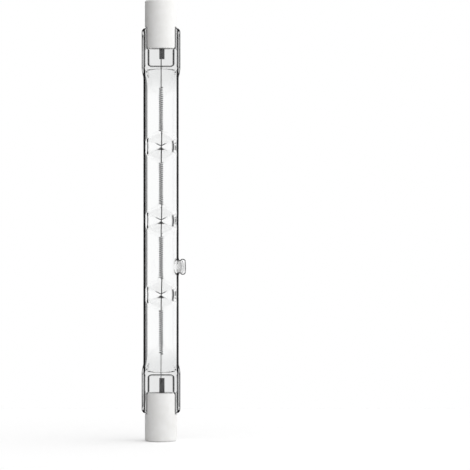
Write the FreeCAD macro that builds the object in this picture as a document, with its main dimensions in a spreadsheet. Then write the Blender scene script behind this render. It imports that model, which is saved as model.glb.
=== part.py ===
import FreeCAD, Part
import math
import os
import re
import Sketcher
from FreeCAD import Placement, Rotation, Vector

# A double-ended linear halogen bulb. A quartz tube is pressed flat at both ends, a coiled tungsten
# filament runs along its axis, and a forked ceramic cap with a recessed contact sits on each press seal.
# The bulb stands on its lower cap: +Z is the lamp axis, and the exhaust tip points along +X.

# Driving sizes in millimetres. What lies near an end is measured inwards from that end of the bulb.
SIZES = {
    "overall_length": 117.6,
    # quartz tube, flattened towards the press at both ends by sloping shoulders
    "tube_diameter": 9.5,
    "tube_wall": 1.0,
    "shoulder_slope": 0.43,
    "cavity_end_wall": 0.65,
    "cavity_end_width": 3.2,
    "cavity_side_slope": 1.2,
    # press seal: a flat web between two side rails, with a fin where the press jaws met outside each rail
    "press_edge": 17.9,
    "pinch_end": 7.3,
    "rail_reach": 0.425,
    "pinch_corner": 1.6,
    "rail_width": 1.4,
    "rail_thickness": 4.0,
    "rail_edge_bevel": 0.4,
    "rail_taper": 3.8,
    "fin_width": 0.6,
    "fin_thickness": 1.6,
    "fin_edge_bevel": 0.4,
    "web_thickness": 2.0,
    "web_side_slope": 0.42,
    "web_corner": 0.8,
    # exhaust tip, sealed by melting
    "exhaust_height": 46.6,
    "exhaust_diameter": 4.3,
    "exhaust_neck": 3.3,
    "exhaust_neck_length": 0.5,
    "exhaust_reach": 2.05,
    "exhaust_bevel": 0.7,
    "exhaust_bore": 1.9,
    "exhaust_end_wall": 1.2,
    # dimples pressed into the tube to hold the filament's straight links
    "dimple_gap": 0.32,
    "dimple_tip": 0.7,
    "dimple_slope": 0.72,
    # filament: four coils on one wire
    "filament_wire": 0.2,
    "coil_diameter": 1.18,
    "coil_pitch": 0.57,
    "coil_turns": 21,
    "coil_sides": 6,
    "coil_count": 4,
    "coil_margin": 4.64,
    # foils and outer leads sealed in the webs
    "foil_width": 1.4,
    "foil_thickness": 0.05,
    "foil_offset": 0.24,
    "foil_start": 9.2,
    "lower_foil_end": 16.8,
    "upper_foil_end": 15.7,
    "weld_length": 1.6,
    "lead_diameter": 0.5,
    "wire_clearance": 0.02,
    # ceramic caps
    "cap_diameter": 8.6,
    "cap_length": 12.85,
    "cap_edge_bevel": 0.35,
    "cap_clearance": 0.1,
    "prong_bevel": 0.3,
    "recess_diameter": 4.8,
    "recess_depth": 1.7,
    "cement_thickness": 0.15,
    "cement_setback": 0.3,
    # contacts
    "contact_diameter": 3.8,
    "contact_thickness": 0.6,
    "contact_bevel": 0.25,
    "stem_diameter": 1.5,
    "stem_length": 2.5,
    "contact_clearance": 0.05,
}

ENDS = ("lower", "upper")
# Cut tools reach this far past the faces that they cut.
OVERCUT = "1"
# Half the diagonal of a square wire, as a share of its side.
HALF_DIAGONAL = "0.7072"

doc = FreeCAD.newDocument("linear_halogen_bulb")
sheet = doc.addObject("Spreadsheet::Sheet", "Sizes")
for row, (size_name, number) in enumerate(SIZES.items(), 1):
    sheet.set(f"A{row}", size_name)
    sheet.set(f"B{row}", str(number))
    sheet.setAlias(f"B{row}", size_name)
doc.recompute()

SIZE_WORD = re.compile(r"\b(" + "|".join(SIZES) + r")\b")

# Lengths that several pieces share, as formulas of the sizes.
TUBE_RADIUS = "(tube_diameter / 2)"
BORE_RADIUS = "(tube_diameter / 2 - tube_wall)"
# How far pieces that are melted onto the tube reach into its wall.
MELT_DEPTH = "(tube_wall * 0.6)"
RAIL_MELT_DEPTH = "(tube_wall * 0.1)"
PINCH_HALF = "(tube_diameter / 2 + rail_reach)"
RAIL_HALF = "(tube_diameter / 2 + rail_reach - fin_width)"
SEAT_HALF = "(tube_diameter / 2 + rail_reach - rail_width)"
RAIL_RISE = "((rail_thickness - web_thickness) / 2)"
WEB_HALF = f"({SEAT_HALF} - web_side_slope * {RAIL_RISE})"
PRONG_HALF = f"({SEAT_HALF} - cap_clearance)"
SLOT_HALF = "(web_thickness / 2 + cement_thickness)"
SLOT_HALF_WIDTH = f"({WEB_HALF} + web_side_slope * cement_thickness - cap_clearance)"
SLOT_ROOT = "(pinch_end - cement_thickness)"
COIL_LENGTH = "(coil_turns * coil_pitch)"
CAVITY_START = "(press_edge + cavity_end_wall)"
COIL_SPACING = (
    f"((overall_length - 2 * ({CAVITY_START} + coil_margin) - {COIL_LENGTH}) / (coil_count - 1))"
)
DIMPLE_WALL_TIP = "(dimple_tip / 2 + tube_wall * (sqrt(1 + dimple_slope ^ 2) - dimple_slope))"
LEG_HALF = f"(filament_wire * {HALF_DIAGONAL})"
FOIL_FACE = f"({LEG_HALF} + wire_clearance / 2)"
LEAD_OFFSET = f"({LEG_HALF} - lead_diameter / 2)"
LEAD_START = "(recess_depth + contact_thickness + stem_length)"
LEAD_END = "(foil_start + weld_length)"


def bound(formula):
    """The formula as an expression on the sheet."""
    return SIZE_WORD.sub(r"Sizes.\1", formula)


def value(formula):
    """What the formula comes to now."""
    return float(sheet.evalExpression(bound(formula)))


def count(formula):
    return int(round(value(formula)))


def bind(thing, **formulas):
    """Tie properties of an object to formulas; a double underscore stands for a dot."""
    for name, formula in formulas.items():
        thing.setExpression(name.replace("__", "."), bound(formula))


def place(thing, end, x="0", y="0", z="0"):
    """Set an object at a point measured from one end of the bulb; the upper end is turned over about X."""
    if end == "upper":
        thing.Placement = Placement(Vector(), Rotation(Vector(1, 0, 0), 180))
        y = f"-({y})"
        z = f"overall_length - ({z})"
    bind(thing, Placement__Base__x=x, Placement__Base__y=y, Placement__Base__z=z)


def named(kind, name):
    thing = doc.addObject(kind, name)
    thing.Label = name
    return thing


def origin_plane(body, role):
    return next(feature for feature in body.Origin.OriginFeatures if feature.Role == role)


def outline(body, name, steps, plane="XZ_Plane", depth="0"):
    """A closed sketch. Each step gives a corner, and the radius of an arc that leads to it.

    An arc runs anticlockwise, or clockwise where its radius has a minus sign.
    """
    sketch = body.newObject("Sketcher::SketchObject", name)
    sketch.AttachmentSupport = [(origin_plane(body, plane), "")]
    sketch.MapMode = "FlatFace"
    bind(sketch, AttachmentOffset__Base__z=depth)
    corners = [Vector(value(step[0]), value(step[1]), 0) for step in steps]
    ends = []
    for index, step in enumerate(steps):
        first = corners[index - 1]
        last = corners[index]
        if len(step) == 2:
            sketch.addGeometry(Part.LineSegment(first, last), False)
            ends.append((1, 2))
            continue
        clockwise = step[2].startswith("-")
        ends.append((2, 1) if clockwise else (1, 2))
        if clockwise:
            first, last = last, first
        radius = abs(value(step[2]))
        chord = last - first
        rise = math.sqrt(max(radius ** 2 - chord.Length ** 2 / 4, 0))
        centre = (first + last) / 2 + Vector(-chord.y, chord.x, 0).normalize() * rise
        start_angle = math.atan2(first.y - centre.y, first.x - centre.x)
        stop_angle = math.atan2(last.y - centre.y, last.x - centre.x)
        if stop_angle < start_angle:
            stop_angle += 2 * math.pi
        circle = Part.Circle(centre, Vector(0, 0, 1), radius)
        sketch.addGeometry(Part.ArcOfCircle(circle, start_angle, stop_angle), False)
    for index, step in enumerate(steps):
        following = (index + 1) % len(steps)
        reached = ends[index][1]
        sketch.addConstraint(Sketcher.Constraint("Coincident", index, reached, following, ends[following][0]))
        for kind, formula in zip(("DistanceX", "DistanceY"), step):
            constraint = Sketcher.Constraint(kind, -1, 1, index, reached, value(formula))
            bind(sketch, **{f"Constraints[{sketch.addConstraint(constraint)}]": formula})
        if len(step) == 3:
            formula = step[2].lstrip("-")
            constraint = Sketcher.Constraint("Radius", index, value(formula))
            bind(sketch, **{f"Constraints[{sketch.addConstraint(constraint)}]": formula})
    return sketch


def turned(name, steps, axis="V_Axis"):
    """A body turned from an outline about its sketch's own axis."""
    body = named("PartDesign::Body", name)
    profile = outline(body, name + "_outline", steps)
    feature = body.newObject("PartDesign::Revolution", name + "_turned")
    feature.Profile = profile
    feature.ReferenceAxis = (profile, [axis])
    feature.Angle = 360
    return body


def pocket(body, name, profile, length, outwards=False):
    """A pocket cut from its sketch against the sketch's normal, or along it where it runs outwards."""
    feature = body.newObject("PartDesign::Pocket", name)
    feature.Profile = profile
    feature.Reversed = outwards
    bind(feature, Length=length)
    return feature


def fused(name, pieces):
    union = named("Part::MultiFuse", name)
    union.Shapes = pieces
    return union


def cut(name, base, tool):
    remainder = named("Part::Cut", name)
    remainder.Base = base
    remainder.Tool = tool
    return remainder


def rod(name, end, radius, start, stop, y="0"):
    """A round rod along the lamp axis between two distances from one end."""
    piece = named("Part::Cylinder", name)
    bind(piece, Radius=radius, Height=f"{stop} - {start}")
    place(piece, end, y=y, z=start)
    return piece


def shoulder_form(name, plane, end_half, start, slope):
    """A slab as long as the tube, seen from one side, that narrows at a slope to a flat at each end."""
    stop = f"(overall_length - {start})"
    reach = f"({TUBE_RADIUS} + {OVERCUT})"
    run = f"(({reach} - {end_half}) / {slope})"
    body = named("PartDesign::Body", name)
    profile = outline(body, name + "_outline", [
        (end_half, start),
        (reach, f"{start} + {run}"),
        (reach, f"{stop} - {run}"),
        (end_half, stop),
        (f"-{end_half}", stop),
        (f"-{reach}", f"{stop} - {run}"),
        (f"-{reach}", f"{start} + {run}"),
        (f"-{end_half}", start),
    ], plane=plane)
    slab = body.newObject("PartDesign::Pad", name + "_slab")
    slab.Profile = profile
    slab.SideType = "Symmetric"
    bind(slab, Length=f"tube_diameter + 2 * {OVERCUT}")
    return body


def tube_form(name, radius, start, profiles):
    """A round bar along the lamp axis, narrowed at its ends to the given profiles."""
    bar = rod(name + "_bar", "lower", radius, start, f"(overall_length - {start})")
    form = named("Part::MultiCommon", name)
    form.Shapes = [bar] + profiles
    return form


def trimmed_corners(body, name, half_width, height, reach, ends_down, rounded):
    """Round or bevel the two corners of a flat end, seen from the front, with a cut and its mirror image."""
    beyond = f"{height} - {OVERCUT}" if ends_down else f"{height} + {OVERCUT}"
    tangent = f"{height} + {reach}" if ends_down else f"{height} - {reach}"
    arc = (reach if ends_down else f"-{reach}",) if rounded else ()
    steps = [
        (half_width, tangent) + arc,
        (f"{half_width} + {OVERCUT}", tangent),
        (f"{half_width} + {OVERCUT}", beyond),
        (f"{half_width} - {reach}", beyond),
        (f"{half_width} - {reach}", height),
    ]
    corner = pocket(body, name, outline(body, name + "_outline", steps), "2 * tube_diameter")
    corner.SideType = "Symmetric"
    corners = body.newObject("PartDesign::Mirrored", name + "s")
    corners.Originals = [corner]
    corners.MirrorPlane = (origin_plane(body, "YZ_Plane"), [""])
    body.Tip = corners


def rail_slab(body, name, half_width, root_half, thickness, edge_bevel):
    """A slab over the whole press, tapered into the tube's sides, with its long edges bevelled."""
    slab_outline = outline(body, name + "_outline", [
        (f"-{half_width}", "pinch_end"),
        (half_width, "pinch_end"),
        (half_width, "press_edge"),
        (root_half, "press_edge + rail_taper"),
        (f"-{root_half}", "press_edge + rail_taper"),
        (f"-{half_width}", "press_edge"),
    ])
    slab = body.newObject("PartDesign::Pad", name)
    slab.Profile = slab_outline
    slab.SideType = "Symmetric"
    bind(slab, Length=thickness)
    doc.recompute()

    rims = []
    top = value(f"{thickness} / 2")
    for number, edge in enumerate(slab.Shape.Edges, 1):
        low, high = edge.Vertexes[0].Point, edge.Vertexes[-1].Point
        runs_lengthwise = abs(high.z - low.z) > abs(high.x - low.x) + abs(high.y - low.y)
        if runs_lengthwise and math.isclose(abs(low.y), top) and math.isclose(abs(high.y), top):
            rims.append(f"Edge{number}")
    bevel = body.newObject("PartDesign::Chamfer", name + "_bevel")
    bevel.Base = (slab, rims)
    bind(bevel, Size=edge_bevel)
    doc.recompute()


def pinch_form(end):
    """The press seal: a slab with finned rails, pressed down to the web on its front and its back."""
    body = named("PartDesign::Body", end + "_pinch")
    rail_slab(
        body, end + "_fins", PINCH_HALF, f"({TUBE_RADIUS} - {RAIL_MELT_DEPTH})",
        "fin_thickness", "fin_edge_bevel",
    )
    rail_slab(
        body, end + "_rails", RAIL_HALF, f"({TUBE_RADIUS} - {MELT_DEPTH})",
        "rail_thickness", "rail_edge_bevel",
    )
    trimmed_corners(
        body, end + "_pinch_corner", PINCH_HALF, "pinch_end", "pinch_corner", ends_down=True, rounded=True,
    )

    for side, depth in (("front", "web_thickness / 2"), ("back", "-web_thickness / 2")):
        jaw = outline(body, f"{end}_{side}_jaw_outline", [
            (f"-{WEB_HALF}", f"pinch_end - {OVERCUT}"),
            (WEB_HALF, f"pinch_end - {OVERCUT}"),
            (WEB_HALF, "press_edge - web_corner"),
            (f"{WEB_HALF} - web_corner", "press_edge", "web_corner"),
            (f"-{WEB_HALF} + web_corner", "press_edge"),
            (f"-{WEB_HALF}", "press_edge - web_corner", "web_corner"),
        ], depth=depth)
        press = pocket(body, f"{end}_{side}_press", jaw, "rail_thickness", outwards=side == "front")
        bind(press, TaperAngle="atan(web_side_slope)")
        body.Tip = press
    place(body, end)
    return body


def dimple_tool(name, height, side, tip_distance, tip_half):
    """A blunt eight-sided cone that points at the lamp axis from the front or the back of the tube.

    It is what two square pyramids share when one of them is turned by an eighth of a turn.
    """
    mouth_distance = f"({TUBE_RADIUS} + {OVERCUT})"
    mouth_half = f"({tip_half} + ({mouth_distance} - {tip_distance}) * dimple_slope)"
    facing = Rotation(Vector(0, 0, 1), 180 if side == "front" else 0)
    pyramids = []
    for turn in (0, 45):
        pyramid = named("Part::Wedge", f"{name}_pyramid_{turn}")
        pyramid.Placement = Placement(Vector(), facing * Rotation(Vector(0, 1, 0), turn))
        bind(
            pyramid, Ymin=tip_distance, Ymax=mouth_distance, Placement__Base__z=height,
            Xmin=f"-{tip_half}", Xmax=tip_half, Zmin=f"-{tip_half}", Zmax=tip_half,
            X2min=f"-{mouth_half}", X2max=mouth_half, Z2min=f"-{mouth_half}", Z2max=mouth_half,
        )
        pyramids.append(pyramid)
    tool = named("Part::MultiCommon", name)
    tool.Shapes = pyramids
    return tool


def exhaust_form(name, steps):
    """A piece turned about the exhaust tip's own axis, which runs along +X."""
    body = turned(name, steps, axis="H_Axis")
    bind(body, Placement__Base__z="exhaust_height")
    return body


# Foils and outer leads: flat and round stock, laid in the press before it closes.
foils = []
leads = []
seal_passages = []
for end in ENDS:
    foil_end = f"{end}_foil_end"
    foil = named("Part::Box", end + "_foil")
    bind(foil, Length="foil_width", Width="foil_thickness", Height=f"{foil_end} - foil_start")
    place(foil, end, x="foil_offset - foil_width / 2", y=FOIL_FACE, z="foil_start")
    foils.append(foil)
    leads.append(rod(end + "_outer_lead", end, "lead_diameter / 2", LEAD_START, LEAD_END, LEAD_OFFSET))
    seal_passages.append(rod(
        end + "_lead_passage", end, "lead_diameter / 2 + wire_clearance",
        f"(pinch_end - {OVERCUT})", f"({LEAD_END} + wire_clearance)", LEAD_OFFSET,
    ))
    seal_passages.append(rod(
        end + "_leg_passage", end, f"{LEG_HALF} + wire_clearance",
        f"({foil_end} - weld_length - wire_clearance)", f"({CAVITY_START} + {OVERCUT})",
    ))

# Quartz envelope: tube, press seals and exhaust tip in one piece, hollow, dimpled at each filament support.
pinches = [pinch_form(end) for end in ENDS]
exhaust_root = f"({TUBE_RADIUS} - {MELT_DEPTH})"
exhaust_face = f"({TUBE_RADIUS} + exhaust_reach)"
exhaust_tip = exhaust_form("exhaust_tip", [
    (exhaust_root, "0"),
    (exhaust_face, "0"),
    (exhaust_face, "exhaust_diameter / 2 - exhaust_bevel"),
    (f"{exhaust_face} - exhaust_bevel", "exhaust_diameter / 2"),
    (f"{TUBE_RADIUS} + exhaust_neck_length", "exhaust_diameter / 2"),
    (exhaust_root, "exhaust_neck / 2"),
])
passage_start = f"({BORE_RADIUS} - exhaust_bore / 2)"
passage_end = f"({exhaust_face} - exhaust_end_wall)"
exhaust_passage = exhaust_form("exhaust_passage", [
    (passage_start, "0"),
    (passage_end, "0"),
    (passage_end, "exhaust_bore / 2"),
    (passage_start, "exhaust_bore / 2"),
])
inner_dimples = []
outer_dimples = []
support_count = count("coil_count") - 1
for support in range(support_count):
    steps_from_middle = support - (support_count - 1) / 2
    height = f"(overall_length / 2 + {steps_from_middle} * {COIL_SPACING})"
    for side in ("front", "back"):
        label = f"{side}_dimple_{support + 1}"
        outer_dimples.append(dimple_tool(
            "outer_" + label, height, side, "(dimple_gap / 2 + tube_wall)", "(dimple_tip / 2)",
        ))
        inner_dimples.append(dimple_tool(
            "inner_" + label, height, side, "(dimple_gap / 2)", DIMPLE_WALL_TIP,
        ))
web_half = "(web_thickness / 2)"
tube = tube_form("tube", TUBE_RADIUS, "press_edge", [
    shoulder_form("tube_side", "YZ_Plane", "(rail_thickness / 2)", "press_edge", "shoulder_slope"),
])
bore = tube_form("bore", BORE_RADIUS, CAVITY_START, [
    shoulder_form("bore_side", "YZ_Plane", web_half, CAVITY_START, "shoulder_slope"),
    shoulder_form("bore_front", "XZ_Plane", "(cavity_end_width / 2)", CAVITY_START, "cavity_side_slope"),
])
blank = fused("quartz_blank", [tube, exhaust_tip] + pinches)
dimpled_blank = cut("dimpled_blank", blank, fused("dimple_tools", outer_dimples))
cavity = cut("cavity", bore, fused("dimple_walls", inner_dimples))
hollow = fused("hollow", [cavity, exhaust_passage] + seal_passages + foils)
envelope = cut("quartz_envelope", dimpled_blank, hollow)

# Ceramic caps, contacts and cement, alike at both ends.
caps = []
contacts = []
cements = []
for end, pinch, lead_passage in zip(ENDS, pinches, seal_passages[::2]):
    cap_radius = "(cap_diameter / 2)"
    hole_radius = "(stem_diameter / 2 + contact_clearance)"
    seat_radius = "(contact_diameter / 2 + contact_clearance)"
    seat_depth = "(recess_depth + contact_thickness)"
    cap = turned(end + "_cap", [
        (hole_radius, seat_depth),
        (seat_radius, seat_depth),
        (seat_radius, "recess_depth"),
        ("recess_diameter / 2", "recess_depth"),
        ("recess_diameter / 2", "0"),
        (f"{cap_radius} - cap_edge_bevel", "0"),
        (cap_radius, "cap_edge_bevel"),
        (cap_radius, "cap_length"),
        (hole_radius, "cap_length"),
    ])
    reach = f"({cap_radius} + {OVERCUT})"
    rail_half = "rail_thickness / 2"
    fork_side = [
        (reach, reach),
        (PRONG_HALF, reach),
        (PRONG_HALF, rail_half),
        (SLOT_HALF_WIDTH, SLOT_HALF),
    ]
    fork = list(fork_side)
    fork += [(f"-{x}", y) for x, y in reversed(fork_side)]
    fork += [(f"-{x}", f"-{y}") for x, y in fork_side]
    fork += [(x, f"-{y}") for x, y in reversed(fork_side)]
    fork_outline = outline(cap, end + "_fork_outline", fork, plane="XY_Plane", depth="cap_length")
    pocket(cap, end + "_fork", fork_outline, f"cap_length - {SLOT_ROOT}")
    trimmed_corners(
        cap, end + "_prong_corner", PRONG_HALF, "cap_length", "prong_bevel", ends_down=False, rounded=False,
    )
    place(cap, end)
    caps.append(cap)

    contact_radius = "(contact_diameter / 2)"
    contact = turned(end + "_contact", [
        ("0", "recess_depth"),
        (f"{contact_radius} - contact_bevel", "recess_depth"),
        (contact_radius, "recess_depth + contact_bevel"),
        (contact_radius, seat_depth),
        ("stem_diameter / 2", seat_depth),
        ("stem_diameter / 2", LEAD_START),
        ("0", LEAD_START),
    ])
    place(contact, end)
    contacts.append(contact)

    bed = named("Part::Box", end + "_cement_bed")
    bind(
        bed, Length=f"2 * {SLOT_HALF_WIDTH}", Width=f"2 * {SLOT_HALF}",
        Height=f"cap_length - cement_setback - {SLOT_ROOT}",
    )
    place(bed, end, x=f"-{SLOT_HALF_WIDTH}", y=f"-{SLOT_HALF}", z=SLOT_ROOT)
    cements.append(cut(end + "_cement", bed, fused(end + "_cement_relief", [pinch, lead_passage])))


def filament_path():
    """The wire's centre line: a leg, four coils that wind out from the axis and back to it, and a leg."""
    radius = value("(coil_diameter - filament_wire) / 2")
    sides = count("coil_sides")
    last = sides * count("coil_turns")
    rise = value("coil_pitch") / sides
    coils = count("coil_count")
    path = [Vector(0, 0, value("lower_foil_end - weld_length"))]
    for coil in range(coils):
        middle = value("overall_length / 2") + (coil - (coils - 1) / 2) * value(COIL_SPACING)
        for step in range(last + 1):
            wound = min(1, 2 * min(step, last - step) / sides)
            reach = radius * math.sin(math.pi / 2 * wound)
            angle = 2 * math.pi * step / sides
            height = middle + (step - last / 2) * rise
            path.append(Vector(reach * math.cos(angle), reach * math.sin(angle), height))
    path.append(Vector(0, 0, value("overall_length - upper_foil_end + weld_length")))
    return path


# Filament: a square wire section carried along the wound path, mitred at each side of the coil.
path = filament_path()
half = value("filament_wire / 2")
section = [Vector(x, y, path[0].z) for x, y in ((-half, -half), (half, -half), (half, half), (-half, half))]
section_wire = Part.makePolygon(section + section[:1])
filament = named("Part::Feature", "filament")
MITRED = 1
filament.Shape = Part.makePolygon(path).makePipeShell([section_wire], True, False, MITRED)

doc.recompute()
nodes = [envelope, filament] + foils + leads + caps + contacts + cements
for thing in doc.Objects:
    if "Invalid" in thing.State or "Error" in thing.State:
        raise RuntimeError(f"{thing.Label} failed: {thing.State}")
for node in nodes:
    if node.Shape.isNull() or not node.Shape.isValid() or len(node.Shape.Solids) != 1:
        raise RuntimeError(f"{node.Label} is not one valid solid")
os.makedirs("parts", exist_ok=True)
for node in nodes:
    node.Shape.exportStep(f"parts/{node.Label}.step")
    print(node.Label, round(node.Shape.Volume, 3), node.Shape.BoundBox)
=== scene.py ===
import math

import bmesh
import bpy
from mathutils import Matrix, Vector


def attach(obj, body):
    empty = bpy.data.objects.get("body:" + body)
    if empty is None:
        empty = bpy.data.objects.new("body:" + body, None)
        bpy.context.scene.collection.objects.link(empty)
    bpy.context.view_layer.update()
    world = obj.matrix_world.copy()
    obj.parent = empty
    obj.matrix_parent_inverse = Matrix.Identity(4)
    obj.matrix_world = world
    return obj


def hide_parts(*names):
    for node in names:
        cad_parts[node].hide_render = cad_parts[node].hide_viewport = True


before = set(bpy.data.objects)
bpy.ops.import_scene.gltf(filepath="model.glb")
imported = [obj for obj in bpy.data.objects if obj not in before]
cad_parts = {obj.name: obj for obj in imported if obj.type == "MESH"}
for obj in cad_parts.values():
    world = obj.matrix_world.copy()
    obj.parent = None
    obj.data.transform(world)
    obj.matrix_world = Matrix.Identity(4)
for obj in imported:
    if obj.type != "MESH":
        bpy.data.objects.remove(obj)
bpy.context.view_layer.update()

# Seal foils: two strips of molybdenum foil, rolled thinner than paper so that hot quartz can close
# over them. They carry the current through the press seals and look dull and dark grey there.
MM = 0.001


class Tone:
    """A socket in a material. Sums on it add Math nodes, and make() adds any other node."""

    def __init__(self, tree, socket=None):
        self.tree = tree
        self.socket = socket

    def make(self, kind, settings=None, out=0, **inputs):
        """Add a node. Inputs go by name, with _ for a space, or by number, as in _0."""
        node = self.tree.nodes.new(kind)
        for name, setting in (settings or {}).items():
            setattr(node, name, setting)
        for name, given in inputs.items():
            key = int(name[1:]) if name[0] == "_" else name.replace("_", " ")
            if isinstance(given, Tone):
                self.tree.links.new(given.socket, node.inputs[key])
            else:
                node.inputs[key].default_value = given
        return Tone(self.tree, node.outputs[out] if node.outputs else None)

    def sum(self, operation, first, second):
        """Add a Math node on two values."""
        return self.make("ShaderNodeMath", {"operation": operation}, _0=first, _1=second)

    def __add__(self, other):
        return self.sum("ADD", self, other)

    def __radd__(self, other):
        return self.sum("ADD", other, self)

    def __sub__(self, other):
        return self.sum("SUBTRACT", self, other)

    def __rsub__(self, other):
        return self.sum("SUBTRACT", other, self)

    def __mul__(self, other):
        return self.sum("MULTIPLY", self, other)

    def __rmul__(self, other):
        return self.sum("MULTIPLY", other, self)

    def __abs__(self):
        return self.make("ShaderNodeMath", {"operation": "ABSOLUTE"}, _0=self)

    def eased(self, low, high, start=0.0, stop=1.0):
        """A soft change from start to stop while this value goes from low to high."""
        return self.make(
            "ShaderNodeMapRange", {"interpolation_type": "SMOOTHSTEP"},
            Value=self, From_Min=low, From_Max=high, To_Min=start, To_Max=stop,
        )

    def blended(self, low_colour, high_colour):
        """A colour between two, by the share that this value gives."""
        return self.make(
            "ShaderNodeMix", {"data_type": "RGBA"}, out=2, _0=self, _6=low_colour, _7=high_colour,
        )


def new_finish(name):
    """A new material, as a Tone without a socket and the material itself."""
    material = bpy.data.materials.new(name)
    material.use_nodes = True
    material.node_tree.nodes.clear()
    return Tone(material.node_tree), material


def surface(tone, **inputs):
    """Close a material with one Principled shader."""
    shader = tone.make("ShaderNodeBsdfPrincipled", **inputs)
    tone.make("ShaderNodeOutputMaterial", Surface=shader)


def grain(tone, size_mm, detail=2.0, stretch=(1, 1, 1)):
    """Noise on the piece's own coordinates, with features of about the given size."""
    place = tone.make("ShaderNodeTexCoord", out="Object")
    turned = tone.make("ShaderNodeMapping", Vector=place, Scale=Vector(stretch))
    return tone.make("ShaderNodeTexNoise", Vector=turned, Scale=1 / (size_mm * MM), Detail=detail)


def dress(node, material):
    """Give a CAD node its finish."""
    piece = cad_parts[node]
    piece.data.materials.clear()
    piece.data.materials.append(material)


foil_dark = (0.075, 0.075, 0.08, 1)
foil_pale = (0.12, 0.12, 0.125, 1)
tone, foil_finish = new_finish("molybdenum_foil")
rolled = grain(tone, size_mm=0.5, detail=4, stretch=(1, 1, 0.1))
surface(
    tone,
    Base_Color=rolled.blended(foil_dark, foil_pale),
    Roughness=rolled * 0.2 + 0.4,
    Metallic=0.35,
)
for end in ("lower", "upper"):
    dress(f"{end}_foil", foil_finish)

# Outer leads: two straight lengths of drawn molybdenum wire, bare and grey. Each is welded to the end
# of a foil before pressing, and runs out of the seal to the contact.
lead_dark = (0.2, 0.2, 0.21, 1)
lead_pale = (0.34, 0.34, 0.35, 1)
tone, lead_finish = new_finish("molybdenum_wire")
drawn = grain(tone, size_mm=0.1, detail=3, stretch=(1, 1, 0.05))
surface(
    tone,
    Base_Color=drawn.blended(lead_dark, lead_pale),
    Roughness=drawn * 0.2 + 0.3,
    Metallic=1.0,
)
for end in ("lower", "upper"):
    dress(f"{end}_outer_lead", lead_finish)

# Filament: one drawn tungsten wire, wound on a mandrel into four coils with straight links between
# them. Its ends run out straight along the lamp axis and are welded to the foils.
overall_length = 117.6
wire_radius = 0.11
link_swell = 1.2
link_leans = (0.03, 0.2)
wire_sides = 8
coil_radius = 0.49
coil_pitch = 0.57
coil_turns = 21
coil_count = 4
coil_spacing = 19.75
steps_per_turn = 20
leg_start = 15.2
leg_stop = 103.5
middle = overall_length / 2
coil_length = coil_turns * coil_pitch
end_turn_rise = 0.12
first_coil = middle - (coil_count - 1) / 2 * coil_spacing - coil_length / 2
bend_room = 2 * wire_radius
bend = math.pi / 2
mesh = bmesh.new()


def verts_of(edges):
    """All vertices of some edges, each once."""
    return list({vert for edge in edges for vert in edge.verts})


def edges_between(items, verts):
    """The edges among some items that join two of the given vertices."""
    verts = set(verts)
    return [
        item for item in items
        if isinstance(item, bmesh.types.BMEdge) and item.verts[0] in verts and item.verts[1] in verts
    ]


def draw_wire(edges, height, turn=0.0):
    """Carry the wire's end straight on to a height on the axis, and turn it there about X."""
    drawn_on = bmesh.ops.extrude_edge_only(mesh, edges=edges)["geom"]
    ring = [item for item in drawn_on if isinstance(item, bmesh.types.BMVert)]
    centre = sum((vert.co for vert in ring), Vector()) / len(ring)
    bmesh.ops.translate(mesh, verts=ring, vec=(0, 0, height - centre.z))
    bmesh.ops.rotate(mesh, verts=ring, cent=(0, 0, height), matrix=Matrix.Rotation(turn, 3, "X"))
    return edges_between(drawn_on, ring)


def wind_wire(edges, centre_x, turns, rise):
    """Wind the wire's end about an upright axis, rising by the given height in all."""
    steps = round(turns * steps_per_turn)
    wound = bmesh.ops.spin(
        mesh, geom=verts_of(edges) + edges, cent=(centre_x, 0, 0), axis=(0, 0, 1),
        dvec=(0, 0, rise / steps), angle=2 * math.pi * turns, steps=steps, use_merge=False,
    )
    return [item for item in wound["geom_last"] if isinstance(item, bmesh.types.BMEdge)]


bmesh.ops.create_circle(
    mesh, cap_ends=False, segments=wire_sides, radius=wire_radius,
    matrix=Matrix.Translation((0, 0, first_coil - bend_room)),
)
coil_start = mesh.edges[:]
coil_end = draw_wire(coil_start, first_coil, bend)
coil_end = wind_wire(coil_end, coil_radius / 2, turns=0.5, rise=end_turn_rise)
coil_end = wind_wire(coil_end, 0, turns=coil_turns, rise=coil_length - 2 * end_turn_rise)
coil_end = wind_wire(coil_end, coil_radius / 2, turns=0.5, rise=end_turn_rise)
coil_end = draw_wire(coil_end, first_coil + coil_length + bend_room, -bend)
one_coil = mesh.verts[:] + mesh.edges[:] + mesh.faces[:]
wire_start = draw_wire(coil_start, leg_start)
bmesh.ops.holes_fill(mesh, edges=wire_start)
last_end = coil_end
for coil in range(1, coil_count):
    copied = bmesh.ops.duplicate(mesh, geom=one_coil)
    next_start = [copied["edge_map"][edge] for edge in coil_start]
    next_end = [copied["edge_map"][edge] for edge in coil_end]
    new_verts = [item for item in copied["geom"] if isinstance(item, bmesh.types.BMVert)]
    bmesh.ops.translate(mesh, verts=new_verts, vec=(0, 0, coil * coil_spacing))
    for ring, lean in zip((verts_of(last_end), verts_of(next_start)), link_leans):
        bmesh.ops.scale(mesh, verts=ring, vec=(link_swell, link_swell, 1))
        bmesh.ops.translate(mesh, verts=ring, vec=(lean, 0, 0))
    bmesh.ops.bridge_loops(mesh, edges=last_end + next_start)
    last_end = next_end
wire_end = draw_wire(last_end, leg_stop)
bmesh.ops.holes_fill(mesh, edges=wire_end)
bmesh.ops.recalc_face_normals(mesh, faces=mesh.faces[:])


def finished(mesh, name, material, replaced):
    """Turn a mesh in millimetres into a smooth piece that stands for a CAD node."""
    bmesh.ops.scale(mesh, vec=(MM, MM, MM), verts=mesh.verts[:])
    for face in mesh.faces:
        face.smooth = True
    data = bpy.data.meshes.new(name)
    mesh.to_mesh(data)
    mesh.free()
    data.materials.append(material)
    piece = bpy.data.objects.new(name, data)
    bpy.context.scene.collection.objects.link(piece)
    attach(piece, "root")
    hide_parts(replaced)


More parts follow.
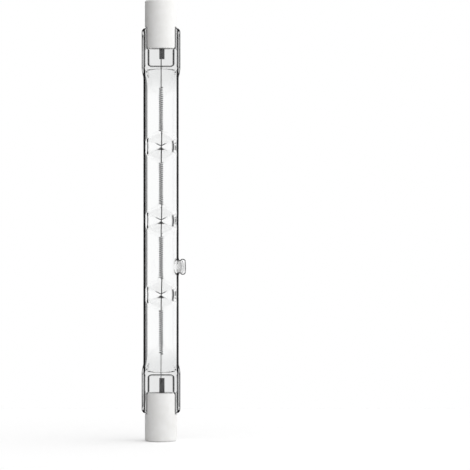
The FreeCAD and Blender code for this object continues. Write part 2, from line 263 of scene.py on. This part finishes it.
tungsten_dark = (0.03, 0.03, 0.031, 1)
tungsten_pale = (0.07, 0.07, 0.072, 1)
tone, filament_finish = new_finish("tungsten")
drawn = grain(tone, size_mm=0.15, detail=3)
surface(
    tone,
    Base_Color=drawn.blended(tungsten_dark, tungsten_pale),
    Roughness=drawn * 0.25 + 0.4,
    Metallic=0.5,
)
finished(mesh, "wound_filament", filament_finish, "filament")

# Quartz envelope: a fused quartz tube. Its hot ends are pressed flat between jaws into a web with a
# finned rail on each side, formers dent its wall against the filament's links, and the side tube
# that it was filled through is melted off short.
tube_radius = 4.75
bore_radius = 3.75
press_edge = 17.9
pinch_end = 7.3
pinch_corner = 1.2
rail_side = 4.575
rail_half = 2.0
rail_round = 0.25
rail_draft = 0.6
tip_draft = 0.8
rail_root = 4.15
rail_taper = 3.8
fin_reach = 5.175
fin_half = 0.8
fin_least_half = 0.1
fin_start = 0.4
fin_growth = 1.2
fin_round = 0.3
fin_draft = 0.2
fin_root = 4.65
web_half = 1.0
web_foot = 3.5
web_corner = 0.8
web_side_slope = 0.42
window_end = 17.6
window_inset = 0.345
window_end_steep = 1.4
window_blend = 0.05
cap_end = 12.85
inset_start = cap_end + 0.02
inset_run = 0.3
shoulder_slope = 0.43
shoulder_round = 1.6
cavity_start = press_edge + 0.65
cavity_end_half = 2.4
cavity_side_slope = 8.0
cavity_squareness = 4
cavity_sharpness = 16
side_points = 80
quarter_steps = 62
bore_quarter_steps = 40


def soft_min(first, second, blend):
    """The smaller of two sizes, with a rounded change from one to the other."""
    return (first + second - math.sqrt((first - second) ** 2 + blend ** 2)) / 2


def arc(across, radius):
    """Half the chord of a circle at a distance from its centre."""
    return math.sqrt(max(radius ** 2 - across ** 2, 0))


def spaced(path, steps):
    """Points at equal distances along a chain of points."""
    lengths = [math.dist(a, b) for a, b in zip(path, path[1:])]
    total = sum(lengths)
    points = [path[0]]
    leg = 0
    gone = 0.0
    for step in range(1, steps):
        target = total * step / steps
        while gone + lengths[leg] < target:
            gone += lengths[leg]
            leg += 1
        share = (target - gone) / lengths[leg]
        a, b = path[leg], path[leg + 1]
        points.append((a[0] + (b[0] - a[0]) * share, a[1] + (b[1] - a[1]) * share))
    return points + [path[-1]]


def slab_side(y, reach, half, edge, draft=0.0):
    """Half the width of a slab with rounded edges and sloping sides, at a height above its middle."""
    if y > half:
        return 0
    lift = max(y - (half - edge), 0)
    return reach - edge + arc(lift, edge) - draft * y / half


def smooth_step(share):
    """A share kept between none and one, with a soft start and stop."""
    share = min(max(share, 0), 1)
    return share * share * (3 - 2 * share)


def window_level(x, depth):
    """How high the quartz may stand where the press jaw came down on the web."""
    foot = web_foot - window_inset * smooth_step((depth - inset_start) / inset_run)
    beside = max(x - (foot - web_corner), 0)
    beyond = max(depth - (window_end - web_corner / window_end_steep), 0) * window_end_steep
    return web_half + max(math.hypot(beside, beyond) - web_corner, 0) / web_side_slope


def press_quarter(depth):
    """A quarter of the section at a distance from the bulb's end, from its side to its middle."""
    tip = min((depth - pinch_end) / pinch_corner, 1)
    swell = arc(1 - tip, 1)
    run = max(depth - press_edge, 0)
    share = smooth_step(run / rail_taper)
    fin = fin_reach + (fin_root - fin_reach) * share - pinch_corner * (1 - swell)
    finned = smooth_step((depth - pinch_end - fin_start) / fin_growth)
    side = fin + (rail_side + (rail_root - rail_side) * share - fin) * finned
    half = web_half + (rail_half - web_half) * swell
    fin_now = fin_least_half + (fin_half - fin_least_half) * finned
    draft = tip_draft + (rail_draft - tip_draft) * finned
    to_corner = (tube_radius - half) / shoulder_slope - run
    drop = max(to_corner, 0)
    if abs(to_corner) < shoulder_round:
        drop = (to_corner + shoulder_round) ** 2 / (4 * shoulder_round)
    top = tube_radius - shoulder_slope * drop
    path = []
    for step in range(side_points + 1):
        y = top * math.sin(math.pi / 2 * step / side_points)
        x = max(
            slab_side(y, fin, fin_now, min(fin_round, fin_now), fin_draft),
            slab_side(y, side + draft * fin_half / half * finned, half, rail_round * swell, draft),
        )
        if run > 0:
            x = max(x, arc(y, tube_radius))
        path.append((x, y))
    edge = path[-1][0]
    if edge > 0:
        path += [(edge * (1 - step / side_points), top) for step in range(1, side_points + 1)]
    path = [(x, min(soft_min(y, window_level(x, depth), window_blend), y)) for x, y in path]
    return spaced(path, quarter_steps)


def cavity_quarter(depth):
    """A quarter of the cavity's section, drawn in at its ends on the flat and on the narrow side."""
    run = depth - cavity_start
    half_y = web_half + shoulder_slope * run
    half_x = cavity_end_half + cavity_side_slope * run
    points = []
    for step in range(bore_quarter_steps + 1):
        angle = math.pi / 2 * step / bore_quarter_steps
        x, y = bore_radius * math.cos(angle), bore_radius * math.sin(angle)
        past = (x / half_x) ** cavity_squareness + (y / half_y) ** cavity_squareness
        squeeze = (1 + past ** (cavity_sharpness / cavity_squareness)) ** (1 / cavity_sharpness)
        points.append((x / squeeze, y / squeeze))
    points[0] = (points[0][0], 0)
    points[-1] = (0, points[-1][1])
    return points


def whole(quarter_points):
    """All four quarters of a section, anticlockwise from +X."""
    half = quarter_points[:-1] + [(-x, y) for x, y in reversed(quarter_points[1:])]
    return half + [(-x, -y) for x, y in half]


support_heights = [middle + step * coil_spacing for step in (-1, 0, 1)]
dimple_reach = 4.2
dimple_rise = 1.15
dimple_side_rise = 0.46
dimple_squareness = 8
dimple_side_steep = 2.3
right_wall = 3.0
right_wall_bow = 0.04
right_wall_half = 1.2
right_wall_fade = 0.8
left_wall = 3.38
left_wall_bow = 0.08
left_wall_half = 1.9
left_wall_fade = 0.9
dimple_rim_blend = 0.15
right_rim_blend = 0.25
right_rim_start = 1
right_rim_run = 1.5
wall = tube_radius - bore_radius
tip_gap = 0.16
inner_tip_radius = 0.98
outer_tip_radius = 0.6


def side_wall(beyond, rise, half_height, fade):
    """How far a point lies past the foot of a dimple's side wall, which runs out above and below."""
    return max(beyond, 0) * (1 - smooth_step((abs(rise) - half_height) / fade))


def dented(x, y, z, tip_distance, tip_radius, steep):
    """Push a point of the tube's wall towards the lamp axis where a four-sided former has dented it."""
    for height in support_heights:
        rise = z - height
        if abs(rise) < dimple_reach and abs(y) > tip_distance:
            sides = (abs(x) * dimple_side_rise) ** dimple_squareness
            slopes = (sides + (abs(rise) * dimple_rise) ** dimple_squareness) ** (1 / dimple_squareness)
            floor = tip_distance + math.hypot(slopes, tip_radius) - tip_radius
            past_right = x - right_wall + right_wall_bow * rise ** 2
            past_left = -x - left_wall - left_wall_bow * rise ** 2
            floor += steep * side_wall(past_right, rise, right_wall_half, right_wall_fade)
            floor += steep * side_wall(past_left, rise, left_wall_half, left_wall_fade)
            softer = right_rim_blend * smooth_step((x - right_rim_start) / right_rim_run)
            return math.copysign(soft_min(abs(y), floor, dimple_rim_blend + softer), y)
    return y


def stations(spans):
    """Heights along the tube: equal steps within each span of (start, stop, count)."""
    return {
        round(start + (stop - start) * step / count, 4)
        for start, stop, count in spans for step in range(count + 1)
    }


def both_ends(marks):
    """Heights at the same distances from the lower and from the upper end of the bulb."""
    return {round(mark, 4) for mark in marks} | {round(overall_length - mark, 4) for mark in marks}


seam_gap = 1e-5


def skin(mesh, heights, section, tip_distance, tip_radius, steep):
    """Roll a grid into a tube whose rings follow the section at each height, and dent it."""
    rings = [whole(section(min(z, overall_length - z))) for z in heights]
    around = len(rings[0])
    levels = len(heights) - 1
    sheet = bmesh.ops.create_grid(mesh, x_segments=around, y_segments=levels, size=1)["verts"]
    for vert in sheet:
        step = round((vert.co.x + 1) / 2 * around) % around
        level = round((vert.co.y + 1) / 2 * levels)
        x, y = rings[level][step]
        z = heights[level]
        vert.co = (x, dented(x, y, z, tip_distance, tip_radius, steep), z)
    faces = list({face for vert in sheet for face in vert.link_faces})
    bmesh.ops.remove_doubles(mesh, verts=sheet, dist=seam_gap)
    faces = [face for face in faces if face.is_valid]
    rims = {edge for face in faces for edge in face.edges if edge.is_boundary}
    return faces + bmesh.ops.holes_fill(mesh, edges=list(rims))["faces"]


exhaust_height = 46.5
flare_reach = 0.15


def drawn_out(mesh, faces, root_radius, surface_radius, profile):
    """Open a hole on the +X side of a skin and draw its rim out along a profile to a closed end."""
    opened = []
    for face in faces:
        centre = face.calc_center_median()
        if centre.x > 0 and math.hypot(centre.y, centre.z - exhaust_height) < root_radius:
            opened.append(face)
    kept = set(faces) - set(opened)
    bmesh.ops.delete(mesh, geom=opened, context="FACES")
    rim = list({edge for face in kept for edge in face.edges if edge.is_boundary})

    def set_ring(verts, radius, x):
        """Set a ring about the tip's axis. Near the tube it follows the curve of the wall."""
        for vert in verts:
            angle = math.atan2(vert.co.z - exhaust_height, vert.co.y)
            y = radius * math.cos(angle)
            flared = arc(y, surface_radius) + max(x - surface_radius, 0)
            x_here = flared if x < surface_radius + flare_reach else x
            vert.co = (x_here, y, exhaust_height + radius * math.sin(angle))

    set_ring(verts_of(rim), root_radius, 0)
    for x, radius in profile:
        drawn_on = bmesh.ops.extrude_edge_only(mesh, edges=rim)["geom"]
        ring = [item for item in drawn_on if isinstance(item, bmesh.types.BMVert)]
        kept |= {item for item in drawn_on if isinstance(item, bmesh.types.BMFace)}
        rim = edges_between(drawn_on, ring)
        set_ring(ring, radius, x)
    kept |= set(bmesh.ops.holes_fill(mesh, edges=rim)["faces"])
    return list(kept)


# Heights of the rings, close together where the form bends and far apart on the straight tube.
dimple_half = 3.8
dimple_levels = 38
dimple_spans = [
    (height - dimple_half, height + dimple_half, dimple_levels) for height in support_heights
]
tip_shares = (0, 0.02, 0.06, 0.12, 0.2, 0.32, 0.46, 0.62, 0.8, 1)
corner_steps = (-0.8, -0.6, -0.4, -0.25, -0.12, 0, 0.08, 0.16, 0.24, 0.32, 0.4, 0.46)
shoulder_steps = (0.6, 0.9, 1.3, 1.8, 2.3, 2.8, 3.3, 3.8, 4.3, 4.8, 5.3, 5.8, 6.2, 6.6, 7.0, 7.5, 8.0)
seal_heights = [9.4, 10.5, 12.5, cap_end, 12.95, 13.05, 13.15, 13.3, 14.5, 16]
end_heights = [pinch_end + pinch_corner * share for share in tip_shares] + seal_heights
end_heights += [press_edge + step for step in corner_steps + shoulder_steps]
straight_start = 26
straight_levels = 24
root_half = 3
root_levels = 26
outer_spans = dimple_spans + [
    (exhaust_height - root_half, exhaust_height + root_half, root_levels),
    (straight_start, overall_length - straight_start, straight_levels),
]
outer_heights = stations(outer_spans) | both_ends(end_heights)
cavity_steps = (
    0, 0.05, 0.15, 0.3, 0.5, 0.8, 1.1, 1.4, 1.7, 1.9, 2.3, 2.8, 3.4, 4, 4.6, 5.2, 5.8, 6.2, 6.6, 7,
)
bore_start = 27
passage_half = 1.6
passage_levels = 16
inner_spans = dimple_spans + [
    (exhaust_height - passage_half, exhaust_height + passage_half, passage_levels),
    (bore_start, overall_length - bore_start, straight_levels),
]
inner_heights = stations(inner_spans) | both_ends([cavity_start + step for step in cavity_steps])

mesh = bmesh.new()
outside_mark = mesh.verts.layers.float.new("outside")
milky_mark = mesh.verts.layers.float.new("milky")
inside = skin(mesh, sorted(inner_heights), cavity_quarter, tip_gap, inner_tip_radius, 0)
passage_radius = 0.95
passage_profile = [
    (4.0, passage_radius), (4.6, passage_radius), (5.1, 1.0), (5.4, 1.2), (5.6, 1.3),
    (5.75, 1.2), (5.85, 0.95), (5.9, 0.6), (5.91, 0.25),
]
inside = drawn_out(mesh, inside, passage_radius, bore_radius, passage_profile)
bmesh.ops.recalc_face_normals(mesh, faces=inside)
bmesh.ops.reverse_faces(mesh, faces=inside)
outside = skin(
    mesh, sorted(outer_heights), press_quarter, tip_gap + wall, outer_tip_radius, dimple_side_steep,
)
root_radius = 2.4
exhaust_profile = [
    (4.79, 2.12), (4.87, 1.9), (4.98, 1.76), (5.1, 1.78), (5.25, 1.94), (5.45, 2.1), (5.7, 2.15),
    (6.05, 2.13), (6.3, 2.03), (6.48, 1.86), (6.6, 1.6), (6.66, 1.2), (6.67, 0.6), (6.67, 0.2),
]
outside = drawn_out(mesh, outside, root_radius, tube_radius, exhaust_profile)
bmesh.ops.recalc_face_normals(mesh, faces=outside)
# Marks on the vertices for the finish: how strongly painted shade darkens the glass's outline, and
# where the tip's root is milky.
passage_end_start = 5
passage_end_mark = 0.4
for face in inside:
    for vert in face.verts:
        vert[outside_mark] = passage_end_mark if vert.co.x > passage_end_start else 0.0
tip_half = 1.3
tip_fade = 0.5
root_start = 3
root_stop = 5.15
tip_end = 6.25
outward_fade = 0.3
dent_half = 2.6
dent_least = 0.3
paled = 0.5
milky_start = 4.25
milky_radius = 2.0
for face in outside:
    for vert in face.verts:
        x, y, z = vert.co
        above = abs(z - exhaust_height)
        near_tip = 1 - smooth_step((above - tip_half) / tip_fade)
        root_light = near_tip * (1 - smooth_step((x - root_stop) / outward_fade)) * (x > root_start)
        end_light = near_tip * smooth_step((x - tip_end) / outward_fade)
        dent = min(max(arc(x, tube_radius) - abs(y) - dent_least, 0), 1)
        if abs(x) > dent_half or not straight_start < z < overall_length - straight_start:
            dent = 0
        vert[outside_mark] = 1 - root_light - paled * (dent + end_light)
        at_milky_root = x > milky_start and math.hypot(y, above) < milky_radius
        vert[milky_mark] = root_light * at_milky_root

# Clear quartz, greyer where it was worked hot. Its dark outline is painted shade: a dark matt shader
# is mixed in where the surface turns from the view. The dark crossed strokes where each pair of
# dimples grips the filament are painted shade as well.
tone, quartz_finish = new_finish("quartz")
facing = tone.make("ShaderNodeLayerWeight", out="Facing", Blend=0.5)
outer = tone.make("ShaderNodeAttribute", {"attribute_name": "outside"}, out="Fac")
place = tone.make("ShaderNodeTexCoord", out="Object")
across = abs(tone.make("ShaderNodeSeparateXYZ", out=0, Vector=place) * (1 / MM))
along = tone.make("ShaderNodeSeparateXYZ", out=2, Vector=place) * (1 / MM) - middle
worked_start = 20
worked = abs(along).eased(middle - straight_start, middle - worked_start) * outer
# Painted shade at the supports: dark crossed strokes in the base colour on the dimples about each
# support.
from_support = tone.make(
    "ShaderNodeMath", {"operation": "WRAP"}, _0=along, _1=coil_spacing / 2, _2=-coil_spacing / 2,
)
upper_slope = 0.5
upper_lift = 0.2
upper_edge = (0.08, 0.2)
upper_reach = (0.8, 1.9)
painted_upper_stroke = abs(from_support - across * upper_slope - upper_lift).eased(*upper_edge, 1.0, 0.0)
painted_upper_stroke = painted_upper_stroke * across.eased(*upper_reach, 1.0, 0.0)
lower_slope = 1.2
lower_lift = 0.1
lower_edge = (-0.1, 0.06)
lower_reach = (-1.0, -0.8)
painted_lower_stroke = (across + from_support * lower_slope + lower_lift).eased(*lower_edge, 1.0, 0.0)
painted_lower_stroke = painted_lower_stroke * from_support.eased(*lower_reach)
arm_slope = 0.6
arm_drop = 0.16
arm_edge = (0.06, 0.2)
arm_reach = (1.0, 2.0)
arm_strength = 0.3
painted_lower_arm = abs(from_support + across * arm_slope + arm_drop).eased(*arm_edge, arm_strength, 0.0)
painted_lower_arm = painted_lower_arm * across.eased(*arm_reach, 1.0, 0.0)
supports_end = (24, 25)
outer_edge = (0.0, 0.45)
at_supports = abs(along).eased(*supports_end, 1.0, 0.0)
mark = (painted_upper_stroke + painted_lower_stroke + painted_lower_arm) * at_supports * outer.eased(*outer_edge)
clear_quartz = (0.985, 0.988, 0.988, 1)
worked_quartz = (0.8, 0.805, 0.805, 1)
painted_support_shade = (0.05, 0.05, 0.05, 1)
clear = worked.blended(clear_quartz, worked_quartz)
quartz = tone.make(
    "ShaderNodeBsdfPrincipled", Base_Color=mark.blended(clear, painted_support_shade),
    Roughness=0.0, IOR=1.458, Transmission_Weight=1.0,
)
# The outline's painted shade: a near-black matt shader, which is milky white at the tip's root instead.
painted_edge_shade = (0.015, 0.015, 0.016, 1)
milky_white = (0.78, 0.78, 0.78, 1)
milky_cover = 0.85
milky = tone.make("ShaderNodeAttribute", {"attribute_name": "milky"}, out="Fac")
dark_edge = tone.make(
    "ShaderNodeBsdfPrincipled", Base_Color=milky.blended(painted_edge_shade, milky_white),
    Roughness=1.0, Specular_IOR_Level=0.0,
)
rim_edge = (0.46, 0.57)
grazing_edge = (0.74, 0.9)
grazing_shade = 0.3
rim = facing.eased(*rim_edge) * facing.eased(*grazing_edge, 1.0, grazing_shade)
rim_shade = rim * outer + milky * milky_cover
shown = tone.make("ShaderNodeMixShader", _0=rim_shade, _1=quartz, _2=dark_edge)
tone.make("ShaderNodeOutputMaterial", Surface=shown)
finished(mesh, "blown_envelope", quartz_finish, "quartz_envelope")

# Cement: a matt, off-white refractory paste between web and cap. It is pressed in wet when the cap is
# set on the seal, and baked hard.
cement_dark = (0.66, 0.63, 0.57, 1)
cement_pale = (0.84, 0.82, 0.77, 1)
cement_relief = 0.02 * MM
tone, cement_finish = new_finish("cement")
speck = grain(tone, size_mm=0.2, detail=6)
bump = tone.make("ShaderNodeBump", Strength=0.3, Distance=cement_relief, Height=speck)
surface(
    tone,
    Base_Color=speck.blended(cement_dark, cement_pale),
    Roughness=0.9,
    Normal=bump,
)
for end in ("lower", "upper"):
    dress(f"{end}_cement", cement_finish)

# Caps: white steatite, pressed and fired. A round end with a contact recess carries two prongs that
# straddle the web between its rails, and all edges are slightly rounded by tumbling.
edge_round = 0.12
flat_angle = math.radians(1)
sharp_angle = math.radians(25)
merge_gap = 1e-4


def rounded_copy(node, width):
    """A copy of a CAD node with its flat faces joined and its edges rounded, in millimetres."""
    copy = bmesh.new()
    copy.from_mesh(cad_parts[node].data)
    bmesh.ops.scale(copy, vec=(1 / MM, 1 / MM, 1 / MM), verts=copy.verts[:])
    bmesh.ops.remove_doubles(copy, verts=copy.verts[:], dist=merge_gap)
    bmesh.ops.dissolve_limit(
        copy, angle_limit=flat_angle, verts=copy.verts[:], edges=copy.edges[:],
        use_dissolve_boundaries=False,
    )
    sharp = [edge for edge in copy.edges if edge.calc_face_angle(0) > sharp_angle]
    bmesh.ops.bevel(
        copy, geom=sharp, offset=width, offset_type="OFFSET", affect="EDGES", segments=3, profile=0.5,
        material=-1, clamp_overlap=True,
    )
    return copy


steatite_dark = (0.83, 0.825, 0.81, 1)
steatite_pale = (0.87, 0.868, 0.86, 1)
steatite_relief = 0.015 * MM
tone, ceramic_finish = new_finish("steatite")
cloud = grain(tone, size_mm=2.5, detail=3)
speck = grain(tone, size_mm=0.12, detail=5)
bump = tone.make("ShaderNodeBump", Strength=0.25, Distance=steatite_relief, Height=speck)
base = cloud.eased(0.3, 0.7).blended(steatite_dark, steatite_pale)
surface(tone, Base_Color=base, Roughness=speck * 0.2 + 0.45, Normal=bump)
for end in ("lower", "upper"):
    cap = rounded_copy(f"{end}_cap", edge_round)
    finished(cap, f"{end}_ceramic_cap", ceramic_finish, f"{end}_cap")

# Contacts: nickel-plated buttons turned from bar. One is riveted through the floor of each cap's
# recess, where the holder's spring pin presses on it.
button_edge_round = 0.06
nickel_dark = (0.55, 0.54, 0.51, 1)
nickel_pale = (0.72, 0.71, 0.68, 1)
tone, contact_finish = new_finish("contact_metal")
turning = grain(tone, size_mm=0.08, detail=3)
surface(
    tone,
    Base_Color=turning.blended(nickel_dark, nickel_pale),
    Roughness=turning * 0.2 + 0.22,
    Metallic=1.0,
)
for end in ("lower", "upper"):
    button = rounded_copy(f"{end}_contact", button_edge_round)
    finished(button, f"{end}_contact_button", contact_finish, f"{end}_contact")

# Floor and light: a small white table that keeps the bulb's shadow, in a white surround that is
# brighter from the right and the front. What glass and metal show of it has a soft dark flag at the
# back left.
floor_half = 0.12
floor_gap = 0.02 * MM
mesh = bmesh.new()
bmesh.ops.create_grid(mesh, x_segments=1, y_segments=1, size=floor_half)
bmesh.ops.translate(mesh, verts=mesh.verts[:], vec=(0, 0, -floor_gap))
data = bpy.data.meshes.new("floor")
mesh.to_mesh(data)
mesh.free()
floor = bpy.data.objects.new("floor", data)
bpy.context.scene.collection.objects.link(floor)
BLACK = (0, 0, 0, 1)
WHITE = (1, 1, 1, 1)
table_white = (0.97, 0.97, 0.97, 1)
table_glow = 0.155
left_paper = (0.5, 0.5, 0.5, 1)
right_paper = (0.95, 0.95, 0.95, 1)
paper_blend = 0.02


def seen_directly(tone):
    """One for rays from the camera and for those that glass and metal send on, else none."""
    rays = [
        tone.make("ShaderNodeLightPath", out=kind)
        for kind in ("Is Camera Ray", "Is Glossy Ray", "Is Transmission Ray")
    ]
    return (rays[0] + rays[1] + rays[2]).eased(0, 1)


# Seen directly the table is white. Its bounce on the bulb is stronger on the right.
tone, floor_finish = new_finish("floor")
glow = tone.make("ShaderNodeEmission", Color=WHITE, Strength=table_glow)
shaded = tone.make("ShaderNodeBsdfDiffuse", Color=table_white)
place = tone.make("ShaderNodeTexCoord", out="Object")
rightward = tone.make("ShaderNodeSeparateXYZ", out=0, Vector=place).eased(-paper_blend, paper_blend)
grey_paper = tone.make("ShaderNodeBsdfDiffuse", Color=left_paper)
white_paper = tone.make("ShaderNodeBsdfDiffuse", Color=right_paper)
paper = tone.make("ShaderNodeMixShader", _0=rightward, _1=grey_paper, _2=white_paper)
white = tone.make("ShaderNodeAddShader", _0=glow, _1=shaded)
shown = tone.make("ShaderNodeMixShader", _0=seen_directly(tone), _1=paper, _2=white)
tone.make("ShaderNodeOutputMaterial", Surface=shown)
data.materials.append(floor_finish)

light_level = 0.65
light_from_right = 0.73
light_from_front = 0.34
light_from_top = 0.35
flag_turn = math.radians(46)
flag_dark = 0.8
flag_side = (0.927, 0.985)
flag_top = (0.09, 0.13)
world = bpy.data.worlds.new("studio")
world.use_nodes = True
world.node_tree.nodes.clear()
tone = Tone(world.node_tree)
direction = tone.make("ShaderNodeTexCoord", out="Generated")
right, back, up = (tone.make("ShaderNodeSeparateXYZ", out=out, Vector=direction) for out in range(3))
light = right * light_from_right - back * light_from_front + up * light_from_top + light_level
flag = (back * math.cos(flag_turn) - right * math.sin(flag_turn)).eased(*flag_side)
flag = flag * abs(up).eased(*flag_top, 1.0, 0.0)
surround = (1 - flag * flag_dark).blended(BLACK, WHITE)
camera_ray = tone.make("ShaderNodeLightPath", out="Is Camera Ray")
backdrop = tone.make("ShaderNodeBackground", Color=camera_ray.blended(surround, WHITE), Strength=1.0)
soft_box = tone.make("ShaderNodeBackground", Color=WHITE, Strength=tone.sum("MAXIMUM", light, 0.0))
shown = tone.make("ShaderNodeMixShader", _0=seen_directly(tone), _1=soft_box, _2=backdrop)
tone.make("ShaderNodeOutputWorld", Surface=shown)
bpy.context.scene.world = world

# Camera: a long lens, level with the middle of the bulb and straight in front of it. Its shift puts
# the bulb at the left of the picture, with the upper cap at the top edge.
camera_distance = 0.7
view_width = 0.1255
film_width = 36
picture_pixels = 470
right_pixels = 74
down_pixels = 14.3
camera = bpy.data.cameras.new("camera")
camera.sensor_width = film_width
camera.lens = film_width * camera_distance / view_width
camera.shift_x = right_pixels / picture_pixels
camera.shift_y = -down_pixels / picture_pixels
camera_object = bpy.data.objects.new("camera", camera)
bpy.context.scene.collection.objects.link(camera_object)
camera_object.location = (0, -camera_distance, middle * MM)
camera_object.rotation_euler = (math.pi / 2, 0, 0)
bpy.context.scene.camera = camera_object
bpy.context.scene.view_settings.view_transform = "Standard"
